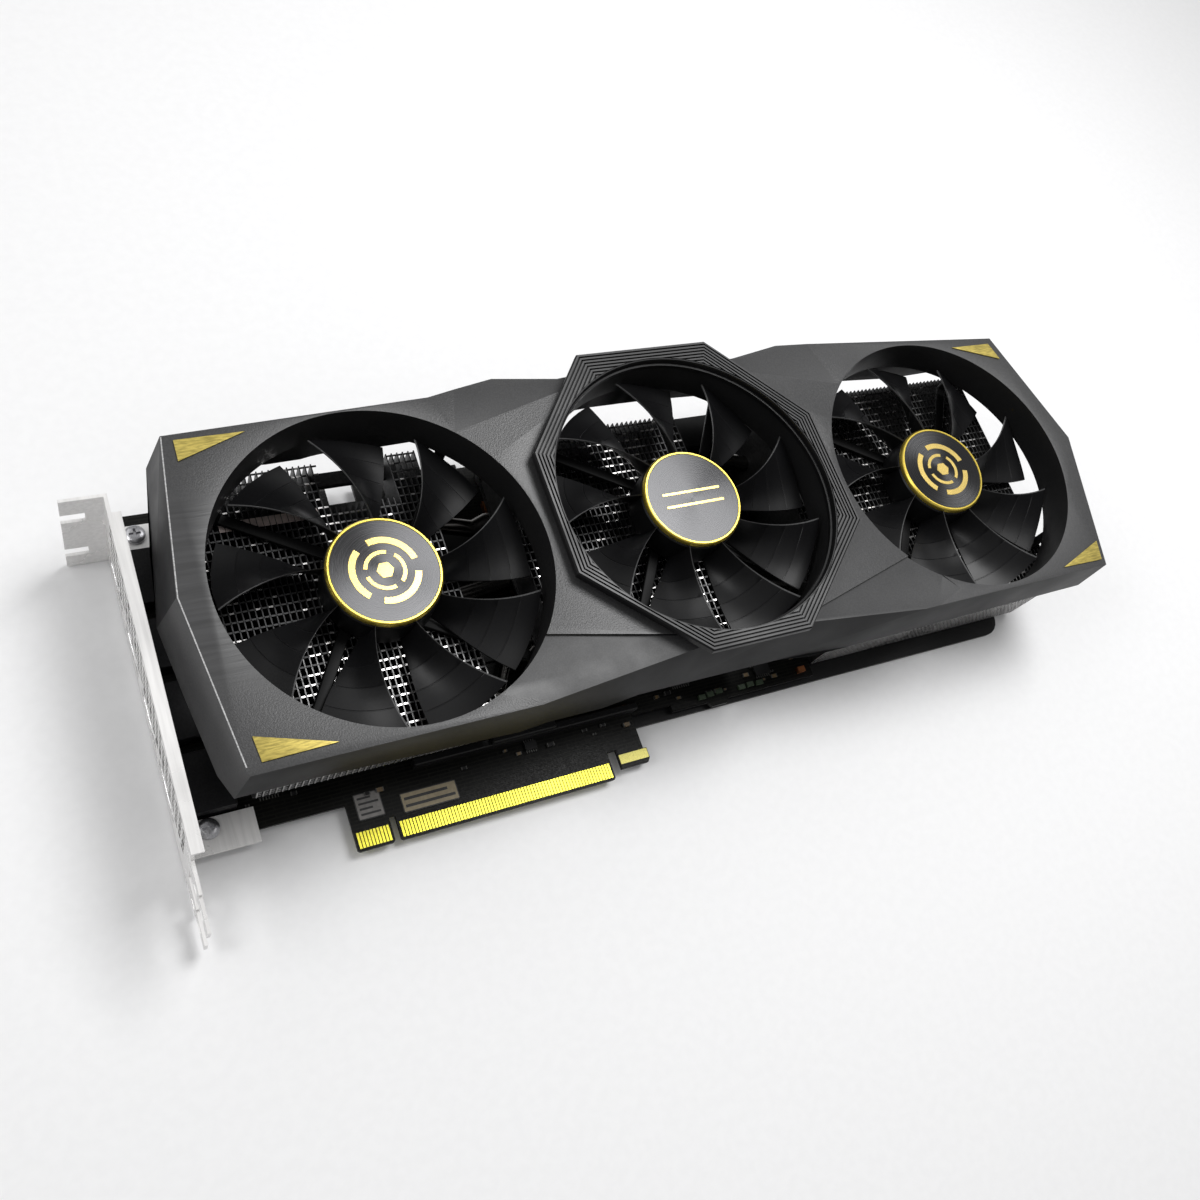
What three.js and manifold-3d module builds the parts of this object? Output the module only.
// A triple-fan graphics card, lying on its backplate with the fans facing up.
// Millimetres. While it is being laid out, x runs along the card from the left end of the edge connector,
// y runs from the connector's contact edge to the card's top edge, and z rises from the board's component
// face. At the end the whole card is moved so that its origin is the middle of its lowest face.
import * as THREE from 'three';
import { mergeVertices } from 'three/addons/utils/BufferGeometryUtils.js';
import Module from 'manifold-3d';

const wasm = await Module();
wasm.setup();

// ---------------------------------------------------------------- driving dimensions
const FIT_GAP = 0.1; // between flat faces that rest on each other
const CUT_GAP = 0.3; // round a piece that sits in a cut-out

const BOARD_THICK = 1.6;
const BOARD_LEFT = -44;
const BOARD_RIGHT = 170;
const BOARD_LOW = 14.1;
const BOARD_HIGH = 117;
const KEY_NOTCH = [11.2, 13.1]; // between the two groups of contacts
const CONTACTS_END = 84.3;
const HOOK = { left: 87.5, right: 98.2, low: 2.6, high: 7.4, neck: 97, root: 18.7, plated: 4.1 };
const BOARD_SLOT = { left: 21.5, right: 30.5, low: 109.5 }; // gap in the board's top edge
const CONTACT = { low: 0.8, high: 5.5, thick: 0.06 };

const BACK = { left: -43, right: 262, low: 15, high: 112, near: -3.1, far: -4.6, corner: 7 };
const BACK_VENTS = { left: 192, pitch: 9, columns: 7, width: 4.5, length: 22, rows: [24, 55.5, 87] };
const SCREW_WINDOW_R = 4.6; // round each cooler screw

const BRACKET = { out: -46.4, thick: 1, rear: -4.1, front: 34.8, low: 4.8, high: 106.5 };
const BRACKET_TAB = 11.4; // reach of the tab that is screwed to the computer's case
const BRACKET_TIP = -13.7; // lowest point of the tongues
const SLOT_PITCH = 20.32; // between neighbouring expansion slots

const FACE_Z = 46.4; // the shroud's fan side
const SHROUD_WALL = 2.2;
const SHROUD_RIM_Z = 16; // lowest level of the skirt
const OPENING_R = 48.2;
const COLLAR_WALL = 1.6;
const COLLAR_LOW = 33;
const BEZEL = { low: 46.5, high: 50.8, holeR: 47.6, x: 122.5, y: 72 };

const FANS = [
  { name: 'left', x: 20.5, y: 67.7, lift: 0 },
  { name: 'middle', x: 122, y: 71.8, lift: 4.2 },
  { name: 'right', x: 227.2, y: 68, lift: 0 },
];
const BLADES = 9;
const BLADE_TIP_R = 46.2;
const HUB = { r: 17.2, inner: 15.6, low: 28.3, high: 39.5, roof: 2 };
const CAP = { r: 16.2, low: 39.6, high: 40.4 };
const BEARING = { r: 4, bore: 1.66, shaft: 1.6 };
const FAN_FRAME = { low: 26.3, high: 27.8, baseR: 16, towerTop: 36.4 };
const FAN_ARM = { count: 4, inner: 12, outer: 49.7, width: 3.4, start: 122, sweep: 20, post: 1.4 };

const PIPE_R = 3;
const PIPE_Z = 7.9;
const PIPE_SIDES = 8;
const FIN_TOP = 25.8;
const FIN_BASE = { low: 4.9, high: 12 };
const FIN_PITCH = 5;
const FIN_THICK = 1.2;
const FIN_Y = { base: 104.2, high: 112 }; // the fins overhang their base at the top edge
const FIN_OVERHANG_Z = 13.5;

// ---------------------------------------------------------------- materials
const look = (color, roughness, metalness) => new THREE.MeshStandardMaterial({ color, roughness, metalness });
const LOOKS = {
  shroud: look(0x47484a, 0.55, 0),
  bezel: look(0x2c2d2f, 0.4, 0),
  fan: look(0x1c1c1e, 0.4, 0),
  cap: look(0x3f3f42, 0.35, 0.9),
  badge: look(0xc9a63a, 0.4, 0.8),
  gold: look(0xe2cf45, 0.3, 1),
  board: look(0x0c0d0c, 0.6, 0),
  backplate: look(0x1b1b1c, 0.5, 0.4),
  bracket: look(0xd4d6d8, 0.35, 1),
  fins: look(0xa8a8a6, 0.4, 1),
  pipe: look(0xb9b4ab, 0.25, 1),
  copper: look(0xb0683e, 0.35, 1),
  chip: look(0x161617, 0.5, 0),
  die: look(0x4a4f58, 0.15, 0.3),
  package: look(0x1f3324, 0.6, 0),
  coil: look(0x55565a, 0.6, 0),
  socket: look(0x121213, 0.5, 0),
  port: look(0xb4b4b2, 0.3, 1),
  labelGrey: look(0x8c8d8f, 0.7, 0),
  labelTan: look(0xa89a80, 0.7, 0),
  steel: look(0x9a9b9d, 0.3, 1),
};

// ---------------------------------------------------------------- solids
function bare(geometry) {
  const copy = geometry.clone();
  copy.deleteAttribute('normal');
  copy.deleteAttribute('uv');
  return mergeVertices(copy, 1e-4);
}

function solid(geometry) {
  const merged = bare(geometry);
  const vertProperties = new Float32Array(merged.attributes.position.array);
  const triVerts = new Uint32Array(merged.index.array);
  return new wasm.Manifold(new wasm.Mesh({ numProp: 3, vertProperties, triVerts }));
}

function geometryOf(manifold) {
  const mesh = manifold.getMesh();
  const geometry = new THREE.BufferGeometry();
  geometry.setAttribute('position', new THREE.BufferAttribute(new Float32Array(mesh.vertProperties), 3));
  geometry.setIndex(new THREE.BufferAttribute(new Uint32Array(mesh.triVerts), 1));
  geometry.computeVertexNormals();
  return geometry;
}

const joined = (first, ...rest) => rest.reduce((all, next) => all.add(next), first);
const cut = (body, ...tools) => tools.reduce((left, tool) => left.subtract(tool), body);

const shapeOf = (points) => new THREE.Shape(points.map(([x, y]) => new THREE.Vector2(x, y)));

// an outline in x and y, raised from z0 to z1
function prism(points, z0, z1) {
  const geometry = new THREE.ExtrudeGeometry(shapeOf(points), { depth: z1 - z0, bevelEnabled: false });
  return geometry.translate(0, 0, z0);
}

// the same, with holes given as outlines
function plate(points, z0, z1, holes = []) {
  const tools = holes.map((hole) => solid(prism(hole, z0 - 1, z1 + 1)));
  return cut(solid(prism(points, z0, z1)), ...tools);
}

function block(x0, x1, y0, y1, z0, z1) {
  const geometry = new THREE.BoxGeometry(x1 - x0, y1 - y0, z1 - z0);
  return geometry.translate((x0 + x1) / 2, (y0 + y1) / 2, (z0 + z1) / 2);
}

function disc(x, y, r, z0, z1, sides = 32) {
  const geometry = new THREE.CylinderGeometry(r, r, z1 - z0, sides);
  geometry.rotateX(Math.PI / 2);
  return geometry.translate(x, y, (z0 + z1) / 2);
}

const rectangle = (x0, x1, y0, y1) => [[x0, y0], [x1, y0], [x1, y1], [x0, y1]];

function circle(x, y, r, sides) {
  return Array.from({ length: sides }, (_, i) => {
    const a = (2 * Math.PI * i) / sides;
    return [x + r * Math.cos(a), y + r * Math.sin(a)];
  });
}

// a solid between two outlines with the same number of [x, y, z] corners, both anticlockwise from above
function loft(lower, upper) {
  const n = lower.length;
  const index = [];
  const caps = (ring) => THREE.ShapeUtils.triangulateShape(ring.map(([x, y]) => new THREE.Vector2(x, y)), []);
  for (let i = 0; i < n; i += 1) {
    const j = (i + 1) % n;
    index.push(i, j, n + j, i, n + j, n + i);
  }
  caps(lower).forEach(([a, b, c]) => index.push(a, c, b));
  caps(upper).forEach(([a, b, c]) => index.push(n + a, n + b, n + c));
  const geometry = new THREE.BufferGeometry();
  geometry.setAttribute('position', new THREE.Float32BufferAttribute([...lower, ...upper].flat(), 3));
  geometry.setIndex(index);
  return geometry;
}

// the outline moved inwards by a wall's thickness, corner for corner
function inset(points, distance) {
  const n = points.length;
  return points.map((point, i) => {
    const before = points[(i + n - 1) % n];
    const after = points[(i + 1) % n];
    const u = new THREE.Vector2(point[0] - before[0], point[1] - before[1]).normalize();
    const v = new THREE.Vector2(after[0] - point[0], after[1] - point[1]).normalize();
    const normal = new THREE.Vector2(-u.y - v.y, u.x + v.x).normalize();
    const reach = distance / (normal.x * -u.y + normal.y * u.x);
    return [point[0] + normal.x * reach, point[1] + normal.y * reach];
  });
}

const atLevel = (points, z) => points.map(([x, y]) => [x, y, z]);

// a profile in x and z, drawn out along y
function along(profile, y0, y1) {
  const geometry = new THREE.ExtrudeGeometry(shapeOf(profile), { depth: y1 - y0, bevelEnabled: false });
  geometry.rotateX(Math.PI / 2);
  return geometry.translate(0, y1, 0);
}

// ---------------------------------------------------------------- the card
const card = new THREE.Group();

function put(name, shape, material, parent = card) {
  const geometry = shape.isBufferGeometry ? bare(shape) : geometryOf(shape);
  const mesh = new THREE.Mesh(geometry, material);
  mesh.name = name;
  parent.add(mesh);
  return mesh;
}

// ---- shroud: a tapered tray, open below, waisted beside the middle fan
// each corner: its place on the fan side, and its place on the rim of the skirt
const SHROUD_CORNERS = [
  { face: [-29.7, 17.5], rim: [-34.8, 17.2] },
  { face: [50, 17.5], rim: [50, 17.2] },
  { face: [104, 23.5], rim: [104, 17.2] },
  { face: [141, 23.5], rim: [141, 17.2] },
  { face: [188, 18], rim: [188, 17.2] },
  { face: [272, 18], rim: [277.5, 17.4] },
  { face: [285, 69], rim: [288.3, 69] },
  { face: [271.5, 114.8], rim: [275.3, 116] },
  { face: [176, 122.2], rim: [176, 122.4] },
  { face: [157, 119.5], rim: [157, 121.5] },
  { face: [134, 121.6], rim: [134, 122.4] },
  { face: [110, 121.6], rim: [110, 122.4] },
  { face: [91, 119.5], rim: [91, 121.5] },
  { face: [69, 121.6], rim: [69, 121.9] },
  { face: [47, 117.4], rim: [47, 118.4] },
  { face: [-29.9, 115], rim: [-35.7, 116.6] },
  { face: [-36.1, 67.7], rim: [-44.2, 67.8] },
  { face: [-30.4, 19.5], rim: [-38.8, 27.8] },
];
// x and z of the skirt's lower edge, along the connector side and along the top side
const SKIRT_EDGE_LOW = [[-10, 29], [60, 21.5], [78, 21.5], [90, 24.5], [170, 24.2], [240, 27.2]];
const SKIRT_EDGE_HIGH = [[-20, 28.5], [0, 24], [240, 24], [262, 28.5]];
const SKIRT_ENDS = { left: -60, right: 300, leftZ: 28.5, rightZ: 29 };

function skirtCutter(edge, y0, y1) {
  const { left, right, leftZ, rightZ } = SKIRT_ENDS;
  const profile = [[left, 0], [right, 0], [right, rightZ], ...[...edge].reverse(), [left, leftZ]];
  return solid(along(profile, y0, y1));
}

// a shallow ramp sunk into the fan side: it starts level along one line and falls towards the bezel
function facetCutter(outline) {
  const [[x0, y0], [x1, y1]] = outline;
  const length = Math.hypot(x1 - x0, y1 - y0);
  const away = ([x, y]) => Math.abs((x - x0) * (y1 - y0) - (y - y0) * (x1 - x0)) / length;
  const floor = outline.map((point) => [...point, FACE_Z - FACET_SLOPE * away(point)]);
  return solid(loft(floor, atLevel(outline, FACE_Z + 5)));
}

const FACET_SLOPE = 0.045;
// each is level with the fan side along the line from its first corner to its second
const FACETS = [
  [[40.4, 22.7], [60, 15], [108, 15], [108, 26.3], [56.3, 37.5]],
  [[185, 15], [205, 22], [193, 37.6], [140, 24.5], [140, 15]],
  [[58, 126], [51.5, 104.6], [108, 118.8], [108, 126]],
  [[193.5, 104.6], [187, 126], [140, 126], [140, 118]],
];

function makeShroud() {
  const faces = SHROUD_CORNERS.map((corner) => corner.face);
  const rims = SHROUD_CORNERS.map((corner) => corner.rim);
  const outside = solid(loft(atLevel(rims, SHROUD_RIM_Z), atLevel(faces, FACE_Z)));
  const innerRim = inset(rims, SHROUD_WALL);
  const innerFace = inset(faces, SHROUD_WALL);
  const below = SHROUD_RIM_Z - 1;
  const hollow = solid(loft(atLevel(innerRim, below), atLevel(innerFace, FACE_Z - SHROUD_WALL)));
  const collars = FANS.map(({ x, y }) => solid(disc(x, y, OPENING_R + COLLAR_WALL, COLLAR_LOW, FACE_Z, 40)));
  const openings = FANS.map(({ x, y }) => solid(disc(x, y, OPENING_R, 0, FACE_Z + 10, 40)));
  const shell = joined(cut(outside, hollow), ...collars.map((collar) => collar.intersect(outside)));
  const middle = FANS[1].y;
  const skirts = [skirtCutter(SKIRT_EDGE_LOW, -10, middle), skirtCutter(SKIRT_EDGE_HIGH, middle, 140)];
  return cut(shell, ...openings, ...skirts, ...FACETS.map(facetCutter));
}
put('shroud', makeShroud(), LOOKS.shroud);

// ---- octagonal bezel round the middle fan
const BEZEL_CORNERS = [
  [-18, -52.3], [17.6, -52.4], [52, -20.7], [51.6, 20.4], [22.5, 52], [-25, 52], [-51, 20], [-51, -20.4],
].map(([dx, dy]) => [BEZEL.x + dx, BEZEL.y + dy]);
const bezelHole = circle(FANS[1].x, FANS[1].y, BEZEL.holeR, 40);
put('octagon_bezel', plate(BEZEL_CORNERS, BEZEL.low, BEZEL.high, [bezelHole]), LOOKS.bezel);

// ---- corner badges
const BADGE = { low: 46.5, high: 46.9 };
const BADGES = {
  badge_left_top: [[-27, 106.5], [-7.7, 113.2], [-26.9, 113.1]],
  badge_left_bottom: [[-26.2, 20.2], [-6.4, 20.7], [-26.9, 27.3]],
  badge_right_top: [[250.9, 112.6], [271, 105.4], [268.9, 112.4]],
  badge_right_bottom: [[252.1, 20.6], [270.7, 20.2], [272.6, 27.4]],
};
Object.entries(BADGES).forEach(([name, outline]) => {
  put(name, plate(outline, BADGE.low, BADGE.high), LOOKS.badge);
});

// ---- circuit board with its edge connector
const COOLER_SCREWS = [[77, 45], [127, 45], [77, 95], [127, 95]];
const SCREW_HOLE_R = 1.9;
const BRACKET_SCREWS = [[-38, 17.4], [-38, 109.5]];
const CHAMFER = 0.6;

function boardOutline() {
  const slot = BOARD_SLOT;
  const tongue = (x0, x1) => [[x0, CHAMFER], [x0 + CHAMFER, 0], [x1 - CHAMFER, 0], [x1, CHAMFER]];
  return [
    [BOARD_LEFT, BOARD_LOW], [0, BOARD_LOW],
    ...tongue(0, KEY_NOTCH[0]), [KEY_NOTCH[0], 7.6], [KEY_NOTCH[1], 7.6],
    ...tongue(KEY_NOTCH[1], CONTACTS_END), [CONTACTS_END, 9], [HOOK.left, 9],
    [HOOK.left, HOOK.low], [HOOK.right - 1, HOOK.low], [HOOK.right, HOOK.low + 1.4],
    [HOOK.right, HOOK.high], [HOOK.neck, HOOK.high], [HOOK.neck, HOOK.root], [112, HOOK.root],
    [112, 16.4], [126, 16.4], [127, 14.8], [133, 14.8], [134, 16.4], [BOARD_RIGHT, 16.4],
    [BOARD_RIGHT, BOARD_HIGH], [slot.right, BOARD_HIGH], [slot.right, slot.low], [slot.left, slot.low],
    [slot.left, BOARD_HIGH], [BOARD_LEFT, BOARD_HIGH],
  ];
}
const screwHoles = [...COOLER_SCREWS, ...BRACKET_SCREWS].map(([x, y]) => circle(x, y, SCREW_HOLE_R, 12));
put('circuit_board', plate(boardOutline(), -BOARD_THICK, 0, screwHoles), LOOKS.board);

const PLATING_GAP = 0.01;
const contactRuns = { short: [0.7, 10.5], long: [13.8, 83.6] };
const contactSides = { front: PLATING_GAP, back: -BOARD_THICK - PLATING_GAP - CONTACT.thick };
Object.entries(contactSides).forEach(([side, z]) => {
  Object.entries(contactRuns).forEach(([run, [x0, x1]]) => {
    const strip = block(x0, x1, CONTACT.low, CONTACT.high, z, z + CONTACT.thick);
    put(`edge_contacts_${side}_${run}`, strip, LOOKS.gold);
  });
});
function makeHookPlating() {
  const { left, right, plated, high } = HOOK;
  const margin = 0.2;
  const outline = rectangle(left + margin, right - margin, plated, high - margin);
  return plate(outline, PLATING_GAP, PLATING_GAP + CONTACT.thick);
}
put('retention_hook_plating', makeHookPlating(), LOOKS.gold);

// ---- stickers on the board, left blank
const LABEL = { low: 0.02, high: 0.12 };
put('board_label_square', block(2.6, 10.6, 8.6, 16.6, LABEL.low, LABEL.high), LOOKS.labelGrey);
put('board_label_strip', block(16, 33.6, 7.4, 13.4, LABEL.low, LABEL.high), LOOKS.labelTan);

// ---- backplate
// a quarter circle about a corner's centre, from one angle in degrees to the next
function quarter(x, y, r, from, steps = 5) {
  return Array.from({ length: steps + 1 }, (_, i) => {
    const a = THREE.MathUtils.degToRad(from + (90 * i) / steps);
    return [x + r * Math.cos(a), y + r * Math.sin(a)];
  });
}

function makeBackplate() {
  const { left, right, low, high, corner } = BACK;
  const outline = [
    [left, low], ...quarter(right - corner, low + corner, corner, -90),
    ...quarter(right - corner, high - corner, corner, 0), [left, high],
  ];
  const holes = COOLER_SCREWS.map(([x, y]) => circle(x, y, SCREW_WINDOW_R, 16));
  for (let i = 0; i < BACK_VENTS.columns; i += 1) {
    const x = BACK_VENTS.left + i * BACK_VENTS.pitch;
    BACK_VENTS.rows.forEach((y) => holes.push(rectangle(x, x + BACK_VENTS.width, y, y + BACK_VENTS.length)));
  }
  return plate(outline, BACK.far, BACK.near, holes);
}
put('backplate', makeBackplate(), LOOKS.backplate);

// ---- sockets on the board, reached through the bracket
const PORT_DEPTH = 17;
const PORTS = [
  { name: 'display_port_1', y: 30, width: 17.4, height: 6.1, mouth: 15.9, gape: 4.7 },
  { name: 'display_port_2', y: 51.5, width: 17.4, height: 6.1, mouth: 15.9, gape: 4.7 },
  { name: 'hdmi_port', y: 72.5, width: 15.4, height: 6.1, mouth: 13.9, gape: 4.6 },
  { name: 'display_port_3', y: 94, width: 17.4, height: 6.1, mouth: 15.9, gape: 4.7 },
];
const PORT_BOTTOM = 0.1;
const PORT_FACE = -46.3;
const PORT_BORE = 11;

// a block between two ends in x, centred on y and z
const bar = (x0, x1, y, width, z, height) => {
  return block(x0, x1, y - width / 2, y + width / 2, z - height / 2, z + height / 2);
};

PORTS.forEach(({ name, y, width, height, mouth, gape }) => {
  const middle = PORT_BOTTOM + height / 2;
  const body = bar(PORT_FACE, PORT_FACE + PORT_DEPTH, y, width, middle, height);
  const bore = bar(PORT_FACE - 1, PORT_FACE + PORT_BORE, y, mouth, middle, gape);
  put(name, cut(solid(body), solid(bore)), LOOKS.port);
});

// ---- bracket at the card's end, two slots wide
const VENTS = { columns: [10.4, 16.6, 22.8], rows: 13, y: 12, pitch: 7, width: 3.4, height: 4.6 };
function makeBracket() {
  const { out, thick, rear, front, low, high } = BRACKET;
  const inner = out + thick;
  const sheet = solid(block(out, inner, low, high, rear, front));
  const lip = solid(block(out, inner + 2.4, low, 100.6, front - thick, front));
  const caseTab = solid(block(out - BRACKET_TAB, inner, high - thick, high, rear, front));
  const tongueWidth = 11;
  const tongues = [rear + 1.2, rear + 1.2 + SLOT_PITCH].map((z) => {
    const neck = block(out, inner, low - 9, low + 1, z, z + tongueWidth);
    const tip = block(out, inner, BRACKET_TIP, low - 8, z + 2.2, z + tongueWidth - 2.2);
    return joined(solid(neck), solid(tip));
  });
  const feet = [[10.4, 20.6, -25], [104, 113, -32]].map(([y0, y1, x1]) => {
    return solid(block(inner - 0.5, x1, y0, y1, FIT_GAP, FIT_GAP + thick));
  });
  const portHoles = PORTS.map(({ y, width, height }) => {
    const half = width / 2 + CUT_GAP;
    return solid(block(out - 1, inner + 0.2, y - half, y + half, -CUT_GAP, PORT_BOTTOM + height + CUT_GAP));
  });
  const screwSlots = [0, SLOT_PITCH].map((z) => {
    return solid(block(out - BRACKET_TAB - 1, out - 5, high - 3, high + 1, rear + 6.5 + z, rear + 11 + z));
  });
  const footHoles = BRACKET_SCREWS.map(([x, y]) => solid(disc(x, y, SCREW_HOLE_R, -1, 3, 12)));
  const vents = [];
  VENTS.columns.forEach((z) => {
    for (let row = 0; row < VENTS.rows; row += 1) {
      const y = VENTS.y + row * VENTS.pitch;
      vents.push(solid(block(out - 1, inner + 1, y, y + VENTS.width, z, z + VENTS.height)));
    }
  });
  const pressed = joined(sheet, lip, caseTab, ...tongues, ...feet);
  return cut(pressed, ...portHoles, ...screwSlots, ...footHoles, ...vents);
}
put('io_bracket', makeBracket(), LOOKS.bracket);

// ---- screws: a round head on a plain shank
function screw(x, y, headR, headFrom, headTo, shankR, shankEnd) {
  const head = solid(disc(x, y, headR, Math.min(headFrom, headTo), Math.max(headFrom, headTo), 16));
  const shankStart = (headFrom + headTo) / 2;
  const shank = disc(x, y, shankR, Math.min(shankStart, shankEnd), Math.max(shankStart, shankEnd), 12);
  return joined(head, solid(shank));
}
BRACKET_SCREWS.forEach(([x, y], i) => {
  const seat = FIT_GAP + BRACKET.thick + FIT_GAP;
  put(`bracket_screw_${i + 1}`, screw(x, y, 3, seat, seat + 1.6, 1.5, -1.5), LOOKS.steel);
});
COOLER_SCREWS.forEach(([x, y], i) => {
  const seat = -BOARD_THICK - FIT_GAP;
  put(`cooler_screw_${i + 1}`, screw(x, y, 3.6, seat, seat - 2.2, 1.5, 3.6), LOOKS.steel);
});

// ---- processor, memory and power parts on the board
const CHIP_X = 102;
const CHIP_Y = 70;
put('gpu_package', block(CHIP_X - 20, CHIP_X + 20, CHIP_Y - 20, CHIP_Y + 20, 0.1, 1.3), LOOKS.package);
put('gpu_die', block(CHIP_X - 12, CHIP_X + 12, CHIP_Y - 12, CHIP_Y + 12, 1.4, 2.1), LOOKS.die);

const MEMORY_SIZE = [12, 14];
const MEMORY_PLACES = [[60, 54], [60, 86], [144, 54], [144, 86]];
MEMORY_PLACES.forEach(([x, y], i) => {
  const [w, h] = MEMORY_SIZE;
  put(`memory_chip_${i + 1}`, block(x - w / 2, x + w / 2, y - h / 2, y + h / 2, 0.1, 1.2), LOOKS.chip);
});
[[48, 110.5], [60, 110.5]].forEach(([x, y], i) => {
  put(`choke_${i + 1}`, block(x - 4.5, x + 4.5, y - 4.5, y + 4.5, 0.1, 7.1), LOOKS.coil);
});
[[76, 111], [87, 111]].forEach(([x, y], i) => {
  put(`capacitor_${i + 1}`, disc(x, y, 4, 0.1, 9.6, 20), LOOKS.chip);
});

// ---- power sockets, opening towards the card's top edge
const SOCKET = { width: 21, height: 12.4, depth: 12, low: 0.1, top: 117.6, wall: 1.4, floor: 2 };
[132, 156].forEach((x, i) => {
  const { width, height, depth, low, top, wall, floor } = SOCKET;
  const half = width / 2;
  const body = solid(block(x - half, x + half, top - depth, top, low, low + height));
  const inside = half - wall;
  const well = block(x - inside, x + inside, top - depth + floor, top + 1, low + wall, low + height - wall);
  put(`power_socket_${i + 1}`, cut(body, solid(well)), LOOKS.socket);
});

// ---- cooler: cold plate, heat pipes, three stacks of fins, plate over the power stage
const coldPlateOutline = rectangle(CHIP_X - 32, CHIP_X + 32, CHIP_Y - 31, CHIP_Y + 31);
const plateHoles = COOLER_SCREWS.map(([x, y]) => circle(x, y, SCREW_HOLE_R, 12));
put('cold_plate', plate(coldPlateOutline, 2.2, 4.6, plateHoles), LOOKS.copper);

// each stack of fins: its ends, its front, its lowest level, and which third of the pipes' route it meets
const STACKS = [
  { name: 'fin_stack_left', stretch: 'left', x0: -26, x1: 46, front: 20, low: FIN_BASE.low },
  { name: 'fin_stack_middle', stretch: 'centre', x0: 68, x1: 140, front: 22, low: FIN_BASE.low },
  { name: 'fin_stack_right', stretch: 'right', x0: 172, x1: 270, front: 21, low: -2.9 },
];
const FIN_RECESS = { x0: 13, x1: 35, y0: 97 }; // in the left stack, over the gap in the board's edge
const RECESS_RAIL = { y0: 107.5, z0: 17, z1: 19 }; // ties the fins on both sides of it together
const PIPE_PATHS = [
  { left: 34, centre: 48, right: 32 },
  { left: 51, centre: 59, right: 49 },
  { left: 68, centre: 70, right: 66 },
  { left: 85, centre: 81, right: 83 },
  { left: 98, centre: 92, right: 98 },
];
const PIPE_ENDS = [-22, 262];

function combProfile(x0, x1, low) {
  const top = [];
  const count = Math.floor((x1 - x0 - FIN_THICK) / FIN_PITCH);
  const first = (x0 + x1 - count * FIN_PITCH - FIN_THICK) / 2;
  for (let i = count; i >= 0; i -= 1) {
    const x = first + i * FIN_PITCH;
    const right = i === count ? x1 : x + FIN_THICK;
    const left = i === 0 ? x0 : x;
    top.push([right, FIN_BASE.high], [right, FIN_TOP], [left, FIN_TOP], [left, FIN_BASE.high]);
  }
  top.shift();
  top.pop();
  return [[x0, low], [x1, low], ...top];
}

// open grooves where the pipes lie in the underside of a stack, and bores where the stack goes deeper
function pipeChannels({ stretch, x0, x1, low }) {
  const half = PIPE_R + CUT_GAP;
  const from = low < FIN_BASE.low ? PIPE_Z - half : low - 1;
  return PIPE_PATHS.map((path) => {
    const y = path[stretch];
    return solid(block(x0 - 1, x1 + 1, y - half, y + half, from, PIPE_Z + half));
  });
}

function makeStack(stack) {
  const { name, x0, x1, front, low } = stack;
  const comb = solid(along(combProfile(x0, x1, low), front, FIN_Y.high));
  const underside = solid(block(x0 - 1, x1 + 1, FIN_Y.base, FIN_Y.high + 1, low - 1, FIN_OVERHANG_Z));
  const fins = cut(comb, underside, ...pipeChannels(stack));
  if (name !== 'fin_stack_left') {
    return fins;
  }
  const { x0: left, x1: right, y0 } = FIN_RECESS;
  const recess = solid(block(left, right, y0, FIN_Y.high + 1, FIN_BASE.high, FIN_TOP + 1));
  const rail = solid(block(left - 2, right + 2, RECESS_RAIL.y0, FIN_Y.high, RECESS_RAIL.z0, RECESS_RAIL.z1));
  return joined(cut(fins, recess), rail);
}
STACKS.forEach((stack) => put(stack.name, makeStack(stack), LOOKS.fins));

function pipeRoute({ left, centre, right }) {
  const [x0, x1] = PIPE_ENDS;
  const stepIn = centre - left;
  const stepOut = right - centre;
  return [
    [x0, left], [47, left], [51, left + stepIn * 0.16], [63, centre - stepIn * 0.16], [67, centre],
    [141, centre], [145, centre + stepOut * 0.12], [167, right - stepOut * 0.12], [171, right], [x1, right],
  ].map(([x, y]) => new THREE.Vector3(x, y, PIPE_Z));
}

// a pipe is a ring of corners carried along its route, and closed at both ends
function sweep(route, radius, sides) {
  const index = [];
  const points = route.flatMap((centre, i) => {
    const before = route[Math.max(i - 1, 0)];
    const after = route[Math.min(i + 1, route.length - 1)];
    const heading = after.clone().sub(before).normalize();
    const across = new THREE.Vector3(-heading.y, heading.x, 0);
    return Array.from({ length: sides }, (_, k) => {
      const a = (2 * Math.PI * (k + 0.5)) / sides;
      const out = across.clone().multiplyScalar(radius * Math.cos(a));
      return centre.clone().add(out).add(new THREE.Vector3(0, 0, radius * Math.sin(a))).toArray();
    }).flat();
  });
  for (let i = 0; i < route.length - 1; i += 1) {
    for (let k = 0; k < sides; k += 1) {
      const a = i * sides + k;
      const b = i * sides + ((k + 1) % sides);
      index.push(a, b + sides, a + sides, a, b, b + sides);
    }
  }
  const last = (route.length - 1) * sides;
  for (let k = 1; k < sides - 1; k += 1) {
    index.push(0, k + 1, k);
    index.push(last, last + k, last + k + 1);
  }
  const geometry = new THREE.BufferGeometry();
  geometry.setAttribute('position', new THREE.Float32BufferAttribute(points, 3));
  geometry.setIndex(index);
  return geometry;
}
PIPE_PATHS.forEach((path, i) => {
  put(`heat_pipe_${i + 1}`, sweep(pipeRoute(path), PIPE_R, PIPE_SIDES), LOOKS.pipe);
});

const powerPlateHoles = [rectangle(-8, 6, 40, 60), rectangle(20, 34, 70, 90)];
put('power_stage_plate', plate(rectangle(-24, 50, 26, 103), 2.4, 4.4, powerPlateHoles), LOOKS.backplate);

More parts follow.
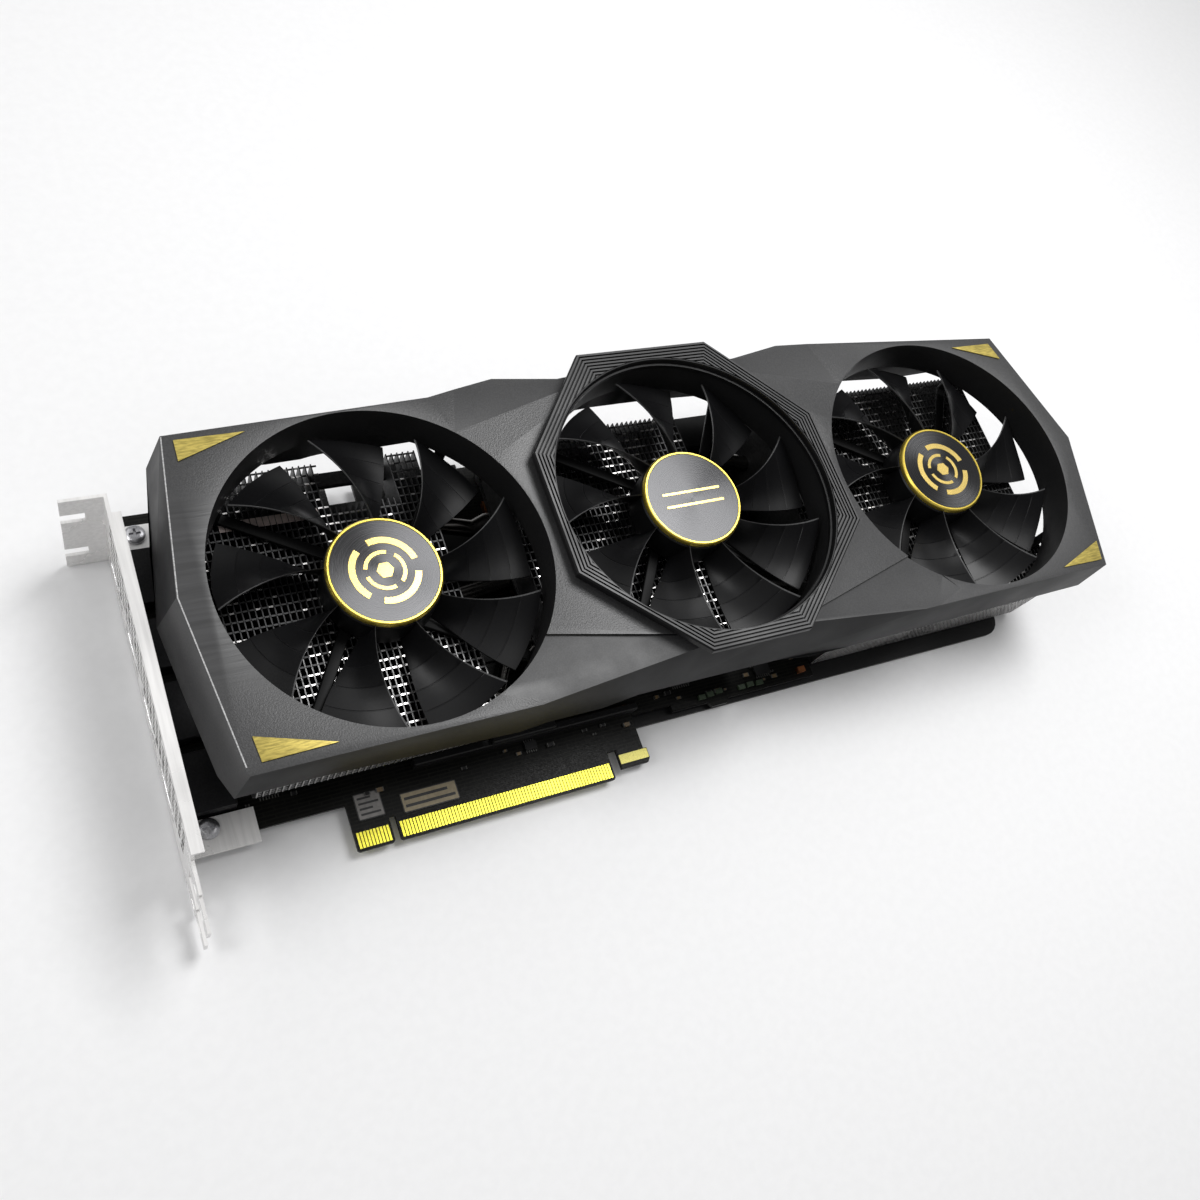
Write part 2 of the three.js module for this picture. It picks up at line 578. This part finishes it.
// ---- fans: a fixed frame with the bearing, and a rotor of impeller, shaft and cap
// an arm swept round as it goes out, with a post at its end that reaches up to the collar
function frameArm(turn, postTop) {
  const { inner, outer, width, sweep: swept, post } = FAN_ARM;
  const centre = new THREE.Vector2();
  const start = new THREE.Vector2(inner, 0).rotateAround(centre, turn);
  const end = new THREE.Vector2(outer, 0).rotateAround(centre, turn + THREE.MathUtils.degToRad(swept));
  const heading = end.clone().sub(start).normalize();
  const side = new THREE.Vector2(-heading.y, heading.x).multiplyScalar(width / 2);
  const postStart = end.clone().addScaledVector(heading, -post);
  const strip = (from) => [
    from.clone().sub(side), end.clone().sub(side), end.clone().add(side), from.clone().add(side),
  ].map(({ x, y }) => [x, y]);
  const arm = solid(prism(strip(start), FAN_FRAME.low, FAN_FRAME.high));
  return arm.add(solid(prism(strip(postStart), FAN_FRAME.low, postTop)));
}

function fanFrame(lift) {
  const { low, high, baseR, towerTop } = FAN_FRAME;
  const postTop = COLLAR_LOW - FIT_GAP - lift;
  const arms = [];
  for (let i = 0; i < FAN_ARM.count; i += 1) {
    const turn = THREE.MathUtils.degToRad(FAN_ARM.start) + (2 * Math.PI * i) / FAN_ARM.count;
    arms.push(frameArm(turn, postTop));
  }
  const base = solid(disc(0, 0, baseR, low, high));
  const tower = solid(disc(0, 0, BEARING.r, low, towerTop, 16));
  const well = solid(disc(0, 0, BEARING.bore, high, towerTop + 1, 16));
  return cut(joined(base, tower, ...arms), well);
}

// one blade: a swept, twisted plate whose leading edge is the higher one
const BLADE_SECTIONS = [
  { r: 16.4, lead: 5, trail: -5, drop: 0 },
  { r: 23, lead: 8, trail: -6, drop: 0 },
  { r: 30, lead: 12, trail: -8, drop: 0.2 },
  { r: 38, lead: 17, trail: -8, drop: 0.5 },
  { r: BLADE_TIP_R, lead: 22, trail: -6.6, drop: 1 },
];
const BLADE = { lead: 38.9, trail: 28.6, thick: 1.3 };

function blade(turn) {
  const rings = BLADE_SECTIONS.map(({ r, lead, trail, drop }) => {
    const corner = (degrees, z) => {
      const a = turn + THREE.MathUtils.degToRad(degrees);
      return [r * Math.cos(a), r * Math.sin(a), z];
    };
    const high = BLADE.lead - drop;
    const low = BLADE.trail + drop;
    const middle = (lead + trail) / 2;
    const sag = (high + low) / 2 - 1.2;
    return [
      corner(lead, high), corner(middle, sag + BLADE.thick), corner(trail, low + BLADE.thick),
      corner(trail, low), corner(middle, sag), corner(lead, high - BLADE.thick),
    ];
  });
  const n = rings[0].length;
  const index = [];
  for (let i = 0; i < rings.length - 1; i += 1) {
    for (let k = 0; k < n; k += 1) {
      const a = i * n + k;
      const b = i * n + ((k + 1) % n);
      index.push(a, b, b + n, a, b + n, a + n);
    }
  }
  const strips = [[0, 1, 4], [0, 4, 5], [1, 2, 3], [1, 3, 4]];
  const last = (rings.length - 1) * n;
  strips.forEach(([a, b, c]) => index.push(a, c, b, last + a, last + b, last + c));
  const geometry = new THREE.BufferGeometry();
  geometry.setAttribute('position', new THREE.Float32BufferAttribute(rings.flat(2), 3));
  geometry.setIndex(index);
  return solid(geometry);
}

function impeller() {
  const shell = solid(disc(0, 0, HUB.r, HUB.low, HUB.high, 36));
  const cup = solid(disc(0, 0, HUB.inner, HUB.low - 1, HUB.high - HUB.roof, 36));
  const blades = [];
  for (let i = 0; i < BLADES; i += 1) {
    blades.push(blade((2 * Math.PI * i) / BLADES));
  }
  return cut(joined(shell, ...blades), cup);
}

FANS.forEach(({ name, x, y, lift }) => {
  const fan = new THREE.Group();
  fan.position.set(x, y, lift);
  card.add(fan);
  const shaft = disc(0, 0, BEARING.shaft, FAN_FRAME.high + 0.2, HUB.high - HUB.roof - FIT_GAP, 16);
  put(`fan_frame_${name}`, fanFrame(lift), LOOKS.fan, fan);
  put(`impeller_${name}`, impeller(), LOOKS.fan, fan);
  put(`fan_shaft_${name}`, shaft, LOOKS.steel, fan);
  put(`hub_cap_${name}`, disc(0, 0, CAP.r, CAP.low, CAP.high, 36), LOOKS.cap, fan);
});

// ---- origin: the middle of the card's lowest face
const extent = new THREE.Box3().setFromObject(card);
const centre = extent.getCenter(new THREE.Vector3());
card.position.set(-centre.x, -centre.y, -extent.min.z);

export default card;
